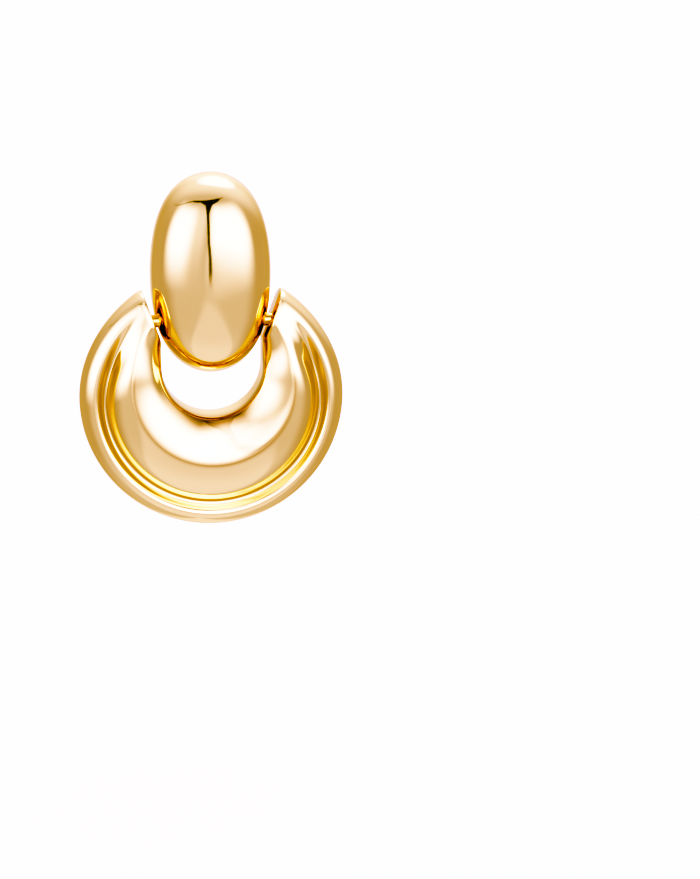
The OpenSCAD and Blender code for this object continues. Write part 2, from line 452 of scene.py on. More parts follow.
@dataclass(frozen=True)
class GoldFinish:
    """Gold plate over brass, with the marks of the way that its face was worked, and with painted shade in
    grooves and painted dark reflections where a piece asks for them.

    Args:
        name: Name of the material.
        colour: Colour of the plate, seen straight on.
        deep: Colour where the plate is a little thinner.
        edge: Tint of the plate at a glancing angle.
        recess_shade: Painted shade: tint that darkens the plate deep in a groove, where less light reaches.
        recess_len: How far the sky is looked for to tell a groove, in millimetres.
        recess_sky: Share of open sky deep in a groove, and on an open face.
        recess_rays: Directions in which the sky is looked for.
        crest: How far the painted dark reflections along the crest and over the rolled window edge darken the
            plate.
        painted_dark_tone: Colour of those painted dark reflections.
        cloud_len: Size of the broad clouds in the plate, in millimetres.
        cloud_detail: Octaves of the clouds.
        thin: Cloud values between which the plate gets thinner.
        fine_len: Size of the fine working marks, in millimetres.
        fine_detail: Octaves of the fine marks.
        rough: Mean roughness.
        rough_play: How far the roughness strays from the mean with the clouds.
        fine_share: Share of that by which it strays with the fine marks too.
        wave: Height of the slow waviness that polishing leaves, in millimetres.
        wave_len: Length of that waviness, in millimetres.
        wave_detail: Octaves of that waviness.
        line: Height of fine working lines, in millimetres.
        grain: Direction of the working lines.
    """

    name: str
    colour: Rgb
    deep: Rgb
    edge: Rgb = (1.0, 0.93, 0.76)
    recess_shade: Rgb = PLAIN
    recess_len: float = 3.0
    recess_sky: Point2 = (0.55, 0.95)
    recess_rays: int = 6
    crest: float = 0.0
    painted_dark_tone: Rgb = (0.12, 0.02, 0.0)
    cloud_len: float = 4.0
    cloud_detail: float = 3.0
    thin: Point2 = (0.3, 0.75)
    fine_len: float = 0.35
    fine_detail: float = 4.0
    rough: float = 0.07
    rough_play: float = 0.03
    fine_share: float = 0.8
    wave: float = 0.0
    wave_len: float = 6.0
    wave_detail: float = 1.0
    line: float = 0.0
    grain: Grain = Grain.POLISHED

    def material(self) -> bpy.types.Material:
        """Builds the material from nodes.

        Returns:
            The material.
        """
        mat = bpy.data.materials.new(self.name)
        mat.use_nodes = True
        graph = Graph(mat.node_tree)
        place = graph.node("ShaderNodeTexCoord", {}, {}, "Object")
        cloud = self._noise(graph, place, Grain.POLISHED, self.cloud_len, self.cloud_detail)
        fine = self._noise(graph, place, self.grain, self.fine_len, self.fine_detail)
        tone = graph.blend(cloud.rise(*self.thin), self.colour, self.deep)
        # Painted shade: the plate is tinted darker where open sky is hidden close by, deep in grooves and
        # recesses.
        rays, reach = {"samples": self.recess_rays}, {"Distance": self.recess_len * MM}
        sky = graph.node("ShaderNodeAmbientOcclusion", rays, reach, "AO")
        tone = graph.tinted(tone, graph.blend(sky.rise(*self.recess_sky), self.recess_shade, PLAIN))
        # Painted dark reflections: the plate is darkened along the marked crest line and rolled window edge.
        if self.crest > 0:
            line = graph.node("ShaderNodeAttribute", {"attribute_name": PAINTED_DARK_MARK}, {}, "Fac")
            tone = graph.tinted(tone, graph.blend(line * self.crest, PLAIN, self.painted_dark_tone))
        rough = self.rough + (cloud - 0.5) * self.rough_play
        rough = rough + (fine - 0.5) * (self.rough_play * self.fine_share)
        settings: dict[str | int, object] = {
            "Base Color": tone,
            "Metallic": 1.0,
            "Roughness": rough,
            "Specular Tint": (*self.edge, 1.0),
        }
        relief = self._relief(graph, place, fine)
        if relief is not None:
            settings["Normal"] = relief
        shader = graph.node("ShaderNodeBsdfPrincipled", {}, settings)
        graph.node("ShaderNodeOutputMaterial", {}, {"Surface": shader})
        mat.diffuse_color = (*self.colour, 1.0)
        return mat

    @staticmethod
    def _noise(graph: Graph, place: Sock, grain: Grain, size: float, detail: float) -> Sock:
        """Adds a noise of the object's own space.

        Args:
            graph: Node tree to fill.
            place: Object coordinates.
            grain: How the noise is drawn out.
            size: Size of its features, in millimetres.
            detail: Octaves of the noise.

        Returns:
            The noise, about 0.5 on average.
        """
        moved = graph.node("ShaderNodeMapping", {}, {"Vector": place, "Scale": grain.value})
        inputs = {"Vector": moved, "Scale": 1 / (size * MM), "Detail": detail}
        return graph.node("ShaderNodeTexNoise", {}, inputs)

    def _relief(self, graph: Graph, place: Sock, fine: Sock) -> Sock | None:
        """Bump of the waviness and the working lines, or None for a dead true face.

        Args:
            graph: Node tree to fill.
            place: Object coordinates.
            fine: The fine noise.

        Returns:
            The bumped normal, or None.
        """
        normal: Sock | None = None
        if self.wave > 0:
            slow = self._noise(graph, place, Grain.POLISHED, self.wave_len, self.wave_detail)
            normal = graph.node("ShaderNodeBump", {}, {"Distance": self.wave * MM, "Height": slow})
        if self.line > 0:
            inputs: dict[str | int, object] = {"Distance": self.line * MM, "Height": fine}
            if normal is not None:
                inputs["Normal"] = normal
            normal = graph.node("ShaderNodeBump", {}, inputs)
        return normal


STUD_GOLD = GoldFinish("polished_gold_stud", (1.0, 0.8, 0.5), (0.99, 0.785, 0.485), wave=0.02)
# The drop's finish paints shade into its grooves and dark reflections along its crest and rolled window edge.
DROP_GOLD = replace(STUD_GOLD, name="polished_gold_drop", recess_shade=(0.7, 0.7, 0.72), crest=0.8)
BACK_GOLD = GoldFinish(
    "satin_gold_back", (0.98, 0.78, 0.51), (0.95, 0.75, 0.48),
    rough=0.26, rough_play=0.1, line=0.006, grain=Grain.BRUSHED_X,
)
POST_GOLD = GoldFinish(
    "drawn_gold_wire", (0.97, 0.77, 0.49), (0.95, 0.75, 0.47),
    rough=0.14, rough_play=0.06, line=0.003, grain=Grain.DRAWN_Y,
)
# The rod's gold is darker than the other pieces': painted shade, for the rod sits in the shaded gaps between
# the oval and the end faces.
SHADED_ROD_GOLD = GoldFinish(
    "drawn_gold_rod", (0.84, 0.6, 0.3), (0.8, 0.56, 0.27),
    rough=0.12, rough_play=0.06, line=0.003, grain=Grain.DRAWN_X,
)


def seat(obj: bpy.types.Object, body: Body, node: str, finish: bpy.types.Material) -> None:
    """Dresses a piece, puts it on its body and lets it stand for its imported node.

    Args:
        obj: The piece.
        body: Body that carries it.
        node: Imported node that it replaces.
        finish: Its material.
    """
    obj.data.materials.clear()
    obj.data.materials.append(finish)
    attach(obj, body.value)
    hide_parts(node)
    log.info("%s: %d faces on %s", obj.name, len(obj.data.polygons), body.value)


# Stud


@dataclass
class Stud:
    """Puffed oval with its back plate, ear post and hinge rod.

    Args:
        width: Width of the oval.
        height: Height of the oval.
        depth: Depth of the oval, from its flat back to its crown.
        full: How much fuller its outline is than an ellipse, 0 being an ellipse.
        puff: Power of the curve from its rim to its crown, 2 being a round one.
        edge: Radius of its rounded back edge.
        wall: Thickness of its wall, and of both back plates.
        collar: Depth of the straight stretch inside, in which the back plate sits.
        rise: How far the post stands above the oval's middle.
        post_d: Diameter of the post.
        root_d: Diameter of its root in the plate.
        root_out: How far the root stands out of the plate.
        post_l: Distance from the flat back to the post's tip.
        head_d: Diameter of the hidden head behind the plate.
        head_t: Thickness of that head.
        seat_fit: Hairline gap at a soldered seam.
        plate_round: Radius of the softened edge of a back plate.
        plate_bore: How far the bar that drills the plate reaches on each side.
        rod_d: Diameter of the hinge rod.
        rod_round: Bevel at the two ends of the rod.
        around: Points round the oval.
        front_rings: Rings over its front.
        edge_rings: Rings over its rounded back edge.
        inside_rings: Rings over its hollow.
        tip_rings: Rings over the post's rounded tip.
        tip_r: Radius that is left flat at the post's tip.
        post_sides: Points round the post.
        rod_sides: Points round the rod.
    """

    width: float = 14.4
    height: float = 24.0
    depth: float = 7.9
    full: float = 0.34
    puff: float = 2.6
    edge: float = 0.5
    wall: float = 0.8
    collar: float = 1.2
    rise: float = 3.6
    post_d: float = 0.9
    root_d: float = 2.0
    root_out: float = 0.15
    post_l: float = 10.5
    head_d: float = 3.0
    head_t: float = 0.5
    seat_fit: float = 0.02
    plate_round: float = 0.06
    plate_bore: float = 3.0
    rod_d: float = 1.5
    rod_round: float = 0.12
    around: int = 224
    front_rings: int = 80
    edge_rings: int = 8
    inside_rings: int = 20
    tip_rings: int = 12
    tip_r: float = 0.004
    post_sides: int = 64
    rod_sides: int = 128

    @property
    def centre_z(self) -> float:
        """Height of the oval's middle."""
        return -self.rise

    def fullness(self, u: float) -> float:
        """Fullness curve of the oval: 0 at its middle, 1 at its two ends."""
        return (1 - self.full) * u * u + self.full * u**4

    def unfull(self, s: float) -> float:
        """Inverse of the fullness curve."""
        keep = 1 - self.full
        return math.sqrt(max(0.0, (math.sqrt(keep * keep + 4 * self.full * s) - keep) / (2 * self.full)))

    def swell(self, t: float) -> Point2:
        """Share of full size and share of full depth at an angle from the crown."""
        return math.sin(t) ** (2 / self.puff), max(0.0, math.cos(t)) ** (2 / self.puff)

    def half_width(self, drop: float) -> float:
        """Half width of the oval at a height below its middle."""
        return self.width / 2 * math.sqrt(1 - self.fullness(drop / (self.height / 2)))

    def ring(self, share: float, depth: float, inset: float) -> list[Point3]:
        """One ring of the oval.

        Args:
            share: Share of full size.
            depth: Distance in front of the back.
            inset: How far the outline is drawn in.

        Returns:
            Points round the ring.
        """
        a, b = self.width / 2 - inset, self.height / 2 - inset
        points: list[Point3] = []
        for k in range(self.around):
            turn = math.tau * k / self.around
            up = self.unfull((share * math.sin(turn)) ** 2) * math.copysign(1.0, math.sin(turn))
            points.append((a * share * math.cos(turn), -depth, self.centre_z + b * up))
        return points

    def build_shell(self) -> bpy.types.Object:
        """Builds the hollow puffed oval.

        Returns:
            The oval.
        """
        skin = Skin()
        rows: list[list[int]] = []
        for i in range(1, self.front_rings + 1):
            share, swell = self.swell(quarter(i, self.front_rings))
            rows.append(skin.row(self.ring(share, self.edge + (self.depth - self.edge) * swell, 0)))
        for i in range(1, self.edge_rings + 1):
            t = quarter(i, self.edge_rings)
            rows.append(skin.row(self.ring(1, self.edge * (1 - math.sin(t)), self.edge * (1 - math.cos(t)))))
        rows.append(skin.row(self.ring(1, 0, self.wall)))
        for i in range(self.inside_rings, 0, -1):
            share, swell = self.swell(quarter(i, self.inside_rings))
            depth = self.collar + (self.depth - self.wall - self.collar) * swell
            rows.append(skin.row(self.ring(share, depth, self.wall)))
        skin.loft(rows, closed=True)
        crowns = [(0, -self.depth, self.centre_z), (0, self.wall - self.depth, self.centre_z)]
        crown, inside = skin.row(crowns)
        skin.fan(rows[0], crown)
        skin.fan(rows[-1], inside)
        return skin.make("stud_oval")

    def build_back(self) -> bpy.types.Object:
        """Builds the flat oval plate that closes the back.

        Returns:
            The plate.
        """
        outline = [(x, z) for x, _, z in self.ring(1, 0, self.wall + self.seat_fit)]
        plate = flat_plate("stud_plate", outline, 0.0, self.wall, self.plate_round)
        r = self.root_d / 2 + self.seat_fit
        drill(plate, [turned("bore", [(r, -self.plate_bore), (r, self.plate_bore)], (0, 0, 0), "Y")])
        return plate

    def build_post(self) -> bpy.types.Object:
        """Builds the straight post with its rounded tip and its hidden round head.

        Returns:
            The post.
        """
        r, root, back = self.post_d / 2, self.root_d / 2, -self.wall - self.seat_fit
        profile = [(self.head_d / 2, back - self.head_t), (self.head_d / 2, back), (root, back)]
        profile += [(root, self.root_out), (r, self.root_out)]
        for i in range(self.tip_rings + 1):
            t = quarter(i, self.tip_rings)
            profile.append((max(r * math.cos(t), self.tip_r), self.post_l - r * (1 - math.sin(t))))
        return turned("ear_wire", profile, (0, 0, 0), "Y", self.post_sides)

    def build_rod(self, reach: float, hinge: Point2) -> bpy.types.Object:
        """Builds the hinge rod.

        Args:
            reach: Half length of the rod.
            hinge: Distance in front of the back and height of the hinge line.

        Returns:
            The rod.
        """
        r, cut = self.rod_d / 2, self.rod_round
        profile = [(r - cut, -reach), (r, -reach + cut), (r, reach - cut), (r - cut, reach)]
        return turned("hinge_bar", profile, (0, -hinge[0], hinge[1]), "X", self.rod_sides)

    def dress(self, reach: float, hinge: Point2) -> None:
        """Builds and dresses every piece of the stud.

        Args:
            reach: Half length of the hinge rod.
            hinge: Distance in front of the back and height of the hinge line.
        """
        seat(self.build_shell(), Body.STUD, "dome_shell", STUD_GOLD.material())
        seat(self.build_back(), Body.STUD, "dome_back", BACK_GOLD.material())
        seat(self.build_post(), Body.STUD, "ear_post", POST_GOLD.material())
        seat(self.build_rod(reach, hinge), Body.STUD, "hinge_rod", SHADED_ROD_GOLD.material())


def flat_plate(
    name: str, outline: Sequence[Point2], back_y: float, thick: float, round_r: float
) -> bpy.types.Object:
    """Builds a flat plate with a softened back edge.

    Args:
        name: Name of the new object.
        outline: X and Z of its rim, in order.
        back_y: Y of its back face.
        thick: Thickness, towards the front.
        round_r: Radius of the softened edge.

    Returns:
        The closed plate.
    """
    skin = Skin()
    rows = [skin.row((x, back_y - thick, z) for x, z in outline)]
    for i in range(ROUND_RINGS + 1):
        t = quarter(i, ROUND_RINGS)
        loop = inset_loop(outline, round_r * (1 - math.cos(t)))
        rows.append(skin.row((x, back_y - round_r * (1 - math.sin(t)), z) for x, z in loop))
    skin.loft(rows, closed=True, capped=True)
    return skin.make(name)


# Drop


class Pull(NamedTuple):
    """Point that pulls a cross-section of the disc, and the same point at the two tips.

    Args:
        share: Share of the section's width that it lies in from the outer edge.
        reach: Distance that is added to that.
        height: Height over the back.
        groove: How far the groove lowers it.
        tip_share: The share at the tips.
        tip_reach: Distance that is added to that.
        tip_height: Height over the back at the tips.
    """

    share: float
    reach: float
    height: float
    groove: float
    tip_share: float
    tip_reach: float
    tip_height: float


# Cross-section of the disc, from the outer to the inner edge of its back.
SECTION: tuple[Pull, ...] = (
    Pull(0.00, 1.90, 0.00, 0.00, 0.00, 1.90, 0.00),
    Pull(0.00, 1.00, 0.00, 0.00, 0.00, 1.00, 0.00),
    Pull(0.00, 0.25, 0.70, 0.00, 0.00, 0.25, 0.70),
    Pull(0.00, 0.00, 1.80, 0.00, 0.00, 0.00, 1.80),
    Pull(0.00, 0.00, 2.80, 0.00, 0.00, 0.00, 2.80),
    Pull(0.00, 0.20, 3.70, 0.00, 0.00, 0.15, 3.60),
    Pull(0.00, 0.62, 4.45, 0.00, 0.00, 0.42, 4.30),
    Pull(0.00, 1.12, 4.95, 0.00, 0.00, 0.75, 4.75),
    Pull(0.00, 1.58, 5.24, 0.00, 0.00, 1.05, 5.00),
    Pull(0.00, 1.90, 5.30, 0.04, 0.00, 1.30, 5.15),
    Pull(0.00, 2.22, 5.42, 0.32, 0.00, 1.50, 5.27),
    Pull(0.00, 2.52, 5.55, 0.85, 0.00, 1.70, 5.37),
    Pull(0.00, 2.85, 5.70, 1.30, 0.00, 1.90, 5.47),
    Pull(0.00, 3.18, 5.85, 1.50, 0.00, 2.15, 5.58),
    Pull(0.00, 3.60, 6.00, 1.15, 0.00, 2.40, 5.68),
    Pull(0.06, 3.50, 6.20, 0.60, 0.40, 0.00, 5.78),
    Pull(0.22, 2.55, 6.42, 0.14, 0.46, 0.00, 5.88),
    Pull(0.40, 1.50, 6.72, 0.00, 0.51, 0.00, 5.96),
    Pull(0.53, 0.85, 6.84, 0.00, 0.57, 0.00, 5.99),
    Pull(0.69, 0.12, 6.70, 0.00, 0.62, 0.00, 5.94),
    Pull(0.79, 0.00, 6.38, 0.00, 0.69, 0.00, 5.78),
    Pull(0.90, -0.30, 5.95, 0.00, 0.77, 0.00, 5.48),
    Pull(1.00, -0.65, 5.33, 0.00, 1.00, -1.05, 5.05),
    Pull(1.00, -0.14, 4.95, 0.00, 1.00, -0.50, 4.45),
    Pull(1.00, -0.01, 4.30, 0.00, 1.00, -0.14, 3.75),
    Pull(1.00, 0.00, 3.20, 0.00, 1.00, 0.00, 2.90),
    Pull(1.00, 0.00, 1.60, 0.00, 1.00, 0.00, 1.50),
    Pull(1.00, 0.00, 0.00, 0.00, 1.00, 0.00, 0.00),
    Pull(1.00, -0.60, 0.00, 0.00, 1.00, -0.60, 0.00),
)

# Cross-section of the hollow inside, in the same order.
HOLLOW: tuple[Pull, ...] = (
    Pull(0.00, 1.95, 0.00, 0.00, 0.00, 1.95, 0.00),
    Pull(0.00, 1.95, 0.95, 0.00, 0.00, 1.95, 0.95),
    Pull(0.00, 0.95, 1.80, 0.00, 0.00, 0.95, 1.80),
    Pull(0.00, 0.95, 2.80, 0.00, 0.00, 0.95, 2.70),
    Pull(0.00, 1.35, 3.65, 0.00, 0.00, 1.30, 3.60),
    Pull(0.00, 2.05, 3.95, 0.00, 0.27, 0.00, 4.10),
    Pull(0.00, 2.90, 3.45, 0.00, 0.34, 0.00, 4.30),
    Pull(0.04, 3.25, 3.75, 0.00, 0.41, 0.00, 4.60),
    Pull(0.20, 2.90, 5.10, 0.00, 0.48, 0.00, 4.85),
    Pull(0.42, 1.40, 5.75, 0.00, 0.54, 0.00, 5.00),
    Pull(0.56, 0.70, 5.90, 0.00, 0.60, 0.00, 4.95),
    Pull(0.74, 0.00, 5.60, 0.00, 0.68, 0.00, 4.65),
    Pull(0.88, -0.30, 4.80, 0.00, 0.78, 0.00, 4.00),
    Pull(1.00, -1.10, 3.30, 0.00, 1.00, -1.10, 2.50),
    Pull(1.00, -1.10, 0.00, 0.00, 1.00, -1.10, 0.00),
)


@dataclass
class Drop:
    """Open crescent disc with its back plate.

    Args:
        stud: The stud that it hangs under.
        width: Diameter of the disc.
        fall: How far the disc's middle lies below the oval's.
        set_back: How far its back lies in front of the stud's.
        hole_r: Radius of the window's round foot.
        hole_rise: How far the middle of that round lies above the disc's.
        end_lean: How far the two end faces lean outwards, in degrees from upright.
        end_gap: Gap between the oval and an end face, on the hinge line.
        tip_taper: Share by which the outline is drawn in at the tips.
        taper_from: Angle from the lowest point at which that starts.
        hinge_rise: How far the hinge line lies above the disc's middle.
        hinge_depth: How far it lies in front of the stud's back.
        run_fit: Gap round the hinge rod in an end wall.
        rod_past: How far the rod reaches past an end face.
        groove_ends: Angles from the lowest point between which the groove ends.
        tips_start: Angle from which the section turns into that of the tips.
        hollow_to: Station up to which the disc is hollow.
        end_round: Radius of the rounded rim of an end face.
        bore_past: How far the bar that drills an end wall reaches into it.
        bore_in: How far that bar stands out of the end face, towards the oval.
        crest_row: Point of the section on which the painted dark reflection along the crest lies.
        crest_wide: Its half width, in points of the section.
        crest_reflection_dark: How dark it is, 1 being the middle of the painted dark reflection on the rolled
            window edge.
        roll_row: Point of the section in the middle of the painted dark reflection on the rolled window edge.
        roll_wide: Its half width, in points of the section.
        stations: Strips of faces along the disc.
        steps: Curve pieces between two points of the section.
    """

    stud: Stud
    width: float = 31.6
    fall: float = 14.6
    set_back: float = 0.1
    hole_r: float = 6.0
    hole_rise: float = 3.75
    end_lean: float = 20.0
    end_gap: float = 0.28
    tip_taper: float = 0.03
    taper_from: float = 80.0
    hinge_rise: float = 9.1
    hinge_depth: float = 3.0
    run_fit: float = 0.05
    rod_past: float = 1.9
    groove_ends: Point2 = (98.0, 148.0)
    tips_start: float = 95.0
    hollow_to: float = 0.9375
    end_round: float = 0.3
    bore_past: float = 3.0
    bore_in: float = 1.5
    crest_row: float = 18.0
    crest_wide: float = 0.3
    crest_reflection_dark: float = 0.4
    roll_row: float = 22.9
    roll_wide: float = 1.9
    stations: int = 320
    steps: int = 8

    def __post_init__(self) -> None:
        """Works out where the end faces meet the hinge line, the outline and the window."""
        self.disc_r = self.width / 2
        self.disc_z = self.stud.centre_z - self.fall
        self.hinge_z = self.disc_z + self.hinge_rise
        self.face_x = self.stud.half_width(self.fall - self.hinge_rise) + self.end_gap
        slope = math.tan(math.radians(self.end_lean))
        foot = self.face_x - slope * self.hinge_rise
        tip_r = self.disc_r * (1 - self.tip_taper)
        length2 = 1 + slope * slope
        tip_z = (math.sqrt(length2 * tip_r * tip_r - foot * foot) - slope * foot) / length2
        self.tip_turn = math.degrees(math.atan2(foot + slope * tip_z, -tip_z))
        self.arc_len = self.hole_r * math.pi / 2
        self.side_len = (self.hole_r - foot) / slope - self.hole_rise

    def outer_at(self, s: float) -> Point2:
        """Point of the outline at a station, -1 and 1 being the tips.

        Args:
            s: Station, from -1 to 1.

        Returns:
            X and Z from the disc's middle.
        """
        turn = s * self.tip_turn
        drawn = ease((abs(turn) - self.taper_from) / (self.tip_turn - self.taper_from))
        r = self.disc_r * (1 - self.tip_taper * drawn)
        return r * math.sin(math.radians(turn)), -r * math.cos(math.radians(turn))

    def inner_at(self, s: float) -> Point2:
        """Point of the window's edge at a station.

        Args:
            s: Station, from -1 to 1.

        Returns:
            X and Z from the disc's middle.
        """
        run = abs(s) * (self.arc_len + self.side_len)
        turn = min(run, self.arc_len) / self.hole_r
        side = math.copysign(1.0, s) if s else 0.0
        return (
            side * self.hole_r * math.sin(turn),
            self.hole_rise - self.hole_r * math.cos(turn) + max(0.0, run - self.arc_len),
        )

    def place(self, s: float, reach: float, height: float) -> Point3:
        """Point of the disc at a station.

        Args:
            s: Station, from -1 to 1.
            reach: Distance in from the outer edge.
            height: Height over the back.

        Returns:
            The point in the frame.
        """
        o, i = self.outer_at(s), self.inner_at(s)
        w = math.hypot(i[0] - o[0], i[1] - o[1])
        x, z = (o[k] + (i[k] - o[k]) * reach / w for k in (0, 1))
        return x, -self.set_back - height, self.disc_z + z

    def _span(self, s: float) -> tuple[float, float, float]:
        """Width of the section, share of the tips and share of the groove at a station.

        Args:
            s: Station, from -1 to 1.

        Returns:
            The three values.
        """
        o, i = self.outer_at(s), self.inner_at(s)
        turn = abs(s) * self.tip_turn
        tips = ease((turn - self.tips_start) / (self.tip_turn - self.tips_start))
        groove = 1 - ease((turn - self.groove_ends[0]) / (self.groove_ends[1] - self.groove_ends[0]))
        return math.hypot(i[0] - o[0], i[1] - o[1]), tips, groove

    def _pulled(self, table: Sequence[Pull], s: float) -> list[Point2]:
        """Points of a cross-section at a station, as reach and height.

        Args:
            table: The cross-section.
            s: Station, from -1 to 1.

        Returns:
            One point for each of the table.
        """
        width, tips, groove = self._span(s)
        disc = 1 - tips
        points: list[Point2] = []
        for p in table:
            reach = disc * (p.share * width + p.reach) + tips * (p.tip_share * width + p.tip_reach)
            points.append((reach, disc * p.height + tips * p.tip_height - groove * p.groove))
        return points

    def section(self, s: float) -> list[Point2]:
        """Smooth cross-section at a station, as reach and height."""
        return flow(self._pulled(SECTION, s), self.steps)

    def hollow(self, s: float) -> list[Point2]:
        """Cross-section of the hollow at a station, as reach and height."""
        return self._pulled(HOLLOW, s)

    def _stops(self) -> list[float]:
        """Stations of the skin, with the two ends of the hollow among them."""
        last = 1 - self.end_round / (self.arc_len + self.side_len)
        return [last * (2 * i / self.stations - 1) for i in range(self.stations + 1)]

    def build_shell(self) -> bpy.types.Object:
        """Builds the hollow crescent shell with its two drilled end walls.

        Returns:
            The shell.
        """
        skin = Skin()
        stops = self._stops()
        near = round(self.stations * (1 - self.hollow_to) / 2)
        far = self.stations - near
        rows = [skin.row(self.place(s, *p) for p in self.section(s)) for s in stops]
        inner = {
            i: skin.row(self.place(stops[i], *p) for p in self.hollow(stops[i])) for i in range(near, far + 1)
        }
        skin.loft(rows)
        for i in range(near, far):
            skin.bridge(inner[i], inner[i + 1])
            skin.cap((rows[i][0], rows[i + 1][0], inner[i + 1][0], inner[i][0]))
            skin.cap((rows[i][-1], rows[i + 1][-1], inner[i + 1][-1], inner[i][-1]))
        for i in [*range(near - 1), *range(far + 1, self.stations)]:
            skin.cap((rows[i][0], rows[i + 1][0], rows[i + 1][-1], rows[i][-1]))
        for edge, wall in ((near - 1, near), (far + 1, far)):
            a, b, c = rows[edge], rows[wall], inner[wall]
            skin.cap((a[0], b[0], c[0], c[-1], b[-1], a[-1]))
            skin.cap(c)
        self._round_end(skin, rows[0], -1)
        self._round_end(skin, rows[-1], 1)
        shell = skin.make("crescent_disc")
        self._paint_dark_reflections(shell, len(rows), len(rows[0]))
        r = self.stud.rod_d / 2 + self.run_fit
        near_x, far_x = self.face_x - self.bore_in, self.face_x + self.bore_past
        hinge = (0, -self.hinge_depth, self.hinge_z)
        spans = ((-far_x, -near_x), (near_x, far_x))
        drill(shell, [turned("bore", [(r, a), (r, b)], hinge, "X") for a, b in spans])
        return shell

    def _paint_dark_reflections(self, shell: bpy.types.Object, rows: int, across: int) -> None:
        """Marks where the finish paints dark reflections: a fine line along the crest, and the rolled window
        edge, strongest at the bottom of the disc.

        Args:
            shell: The shell, whose first points are its rows.
            rows: Number of rows.
            across: Points in each row.
        """
        values: list[float] = []
        for j in range(rows):
            low = math.sin(math.pi * j / (rows - 1)) ** 2
            for k in range(across):
                at = k / self.steps
                line = math.exp(-(((at - self.crest_row) / self.crest_wide) ** 2)) * self.crest_reflection_dark
                roll = math.exp(-(((at - self.roll_row) / self.roll_wide) ** 2)) * low
                values.append(max(line, roll))
        values += [0.0] * (len(shell.data.vertices) - len(values))
        shell.data.attributes.new(PAINTED_DARK_MARK, "FLOAT", "POINT").data.foreach_set("value", values)

    def _round_end(self, skin: Skin, row: Sequence[int], side: int) -> None:
        """Rounds the rim of an end face over and closes it.

        Args:
            skin: The shell that is being built.
            row: Its last row of points on that side.
            side: -1 for the left end and 1 for the right.
        """
        size = self.end_round / (self.arc_len + self.side_len)
        before = list(row)
        for i in range(1, ROUND_RINGS + 1):
            t = quarter(i, ROUND_RINGS)
            s = side * (1 - size * (1 - math.sin(t)))
            loop = inset_loop(self.section(s), self.end_round * (1 - math.cos(t)))
            ring = skin.row(self.place(s, *p) for p in loop)
            skin.bridge(before, ring, closed=True)
            before = ring
        skin.cap(before)

    def build_back(self) -> bpy.types.Object:
        """Builds the flat crescent plate that closes the back.

        Returns:
            The plate.
        """
        stops = self._stops()
        near = round(self.stations * (1 - self.hollow_to) / 2)
        rows = stops[near : self.stations - near + 1]
        gap = self.stud.seat_fit
        outer = [self.place(s, self.hollow(s)[0][0] + gap, 0) for s in rows]
        inner = [self.place(s, self.hollow(s)[-1][0] - gap, 0) for s in reversed(rows)]
        rim = [(x, z) for x, _, z in [*outer, *inner]]
        return flat_plate("crescent_plate", rim, -self.set_back, self.stud.wall, self.stud.plate_round)

    def dress(self) -> list[bpy.types.Object]:
        """Builds and dresses every piece of the drop and hands them back.

        Returns:
            The shell and the plate.
        """
        shell, back = self.build_shell(), self.build_back()
        seat(shell, Body.DROP, "drop_shell", DROP_GOLD.material())
        seat(back, Body.DROP, "drop_back", BACK_GOLD.material())
        return [shell, back]


# Studio


@dataclass(frozen=True)
class SoftBox:
    """One large softbox beside the lens, in degrees as seen from the object.

    Args:
        hand: -1 left of the lens and 1 right of it.
        veil: Side angles over which its dim inner edge fades in.
        core: Side angles over which its core fades in.
        far: Side angles over which it fades out.
        foot: Height angles over which it fades in from below.
        head: Height angles over which it fades out at the top.
        power: Brightness of the inner edge, and what the core adds to it.
    """

    hand: float
    veil: Point2
    core: Point2
    far: Point2
    foot: Point2
    head: Point2
    power: Point2

    def glow(self, side: Sock, up: Sock) -> Sock:
        """Brightness that the softbox adds in a direction.

        Args:
            side: Side angle.
            up: Height angle.

        Returns:
            The brightness.
        """
        out = side * self.hand
        light = out.rise(*self.veil) * self.power[0] + out.rise(*self.core) * self.power[1]
        return light * (1 - out.rise(*self.far)) * up.rise(*self.foot) * (1 - up.rise(*self.head))


